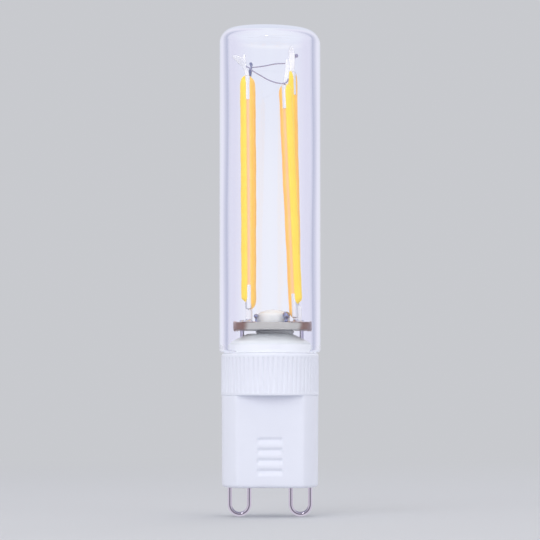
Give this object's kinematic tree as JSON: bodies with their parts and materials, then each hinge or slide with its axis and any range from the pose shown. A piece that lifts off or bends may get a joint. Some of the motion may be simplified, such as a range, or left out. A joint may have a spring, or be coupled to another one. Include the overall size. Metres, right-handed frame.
{
  "type": "led capsule bulb",
  "caption": "Clear two-pin LED capsule bulb: tall glass tube with four upright filaments on a round board, above a white ribbed base.",
  "frame": {"origin": "centre of the housing's bottom face, midway between the two contact pins", "axes": "+Z along the lamp to the glass crown, X from pin to pin, front flat of the shank faces -Y"},
  "size_m": [0.015, 0.015, 0.0727],
  "materials": {
    "housing_plastic": "satin white moulding",
    "clear_glass": "clear polished glass",
    "clear_adhesive": "clear cured silicone",
    "board_laminate": "grey beige laminate",
    "copper": "tinned brown copper",
    "solder": "bright solder",
    "lead_wire": "drawn wire",
    "pin_wire": "nickel plated wire",
    "black_package": "moulded black",
    "chip_ceramic": "fired ceramic",
    "capacitor_sleeve": "shrunk sleeve",
    "resistor_body": "coated ceramic",
    "phosphor": "yellow phosphor silicone",
    "substrate": "white ceramic strip",
    "led_chip": "clear sapphire chips",
    "tab_metal": "bright plated strip"
  },
  "bodies": {
    "root": {"base_housing": "housing_plastic", "board_bead": "clear_adhesive", "board_cap": "housing_plastic", "board_copper": "copper", "board_terminals": "solder", "bridge_rectifier": "black_package", "chip_capacitor": "chip_ceramic", "chip_resistors": "black_package", "contact_pin_left": "pin_wire", "contact_pin_right": "pin_wire", "current_regulator": "black_package", "driver_board": "board_laminate", "driver_solder": "solder", "feed_lead_left": "lead_wire", "feed_lead_right": "lead_wire", "filament_back_left_chips": "led_chip", "filament_back_left_coating": "phosphor", "filament_back_left_foot_tab": "tab_metal", "filament_back_left_substrate": "substrate", "filament_back_left_top_tab": "tab_metal", "filament_back_right_chips": "led_chip", "filament_back_right_coating": "phosphor", "filament_back_right_foot_tab": "tab_metal", "filament_back_right_substrate": "substrate", "filament_back_right_top_tab": "tab_metal", "filament_board": "board_laminate", "filament_carrier": "housing_plastic", "filament_front_left_chips": "led_chip", "filament_front_left_coating": "phosphor", "filament_front_left_foot_tab": "tab_metal", "filament_front_left_substrate": "substrate", "filament_front_left_top_tab": "tab_metal", "filament_front_right_chips": "led_chip", "filament_front_right_coating": "phosphor", "filament_front_right_foot_tab": "tab_metal", "filament_front_right_substrate": "substrate", "filament_front_right_top_tab": "tab_metal", "foot_solder": "solder", "fusible_resistor": "resistor_body", "glass_adhesive": "clear_adhesive", "glass_envelope": "clear_glass", "lead_solder": "solder", "link_wire_back": "lead_wire", "link_wire_front": "lead_wire", "smoothing_capacitor": "capacitor_sleeve"}
  },
  "joints": []
}
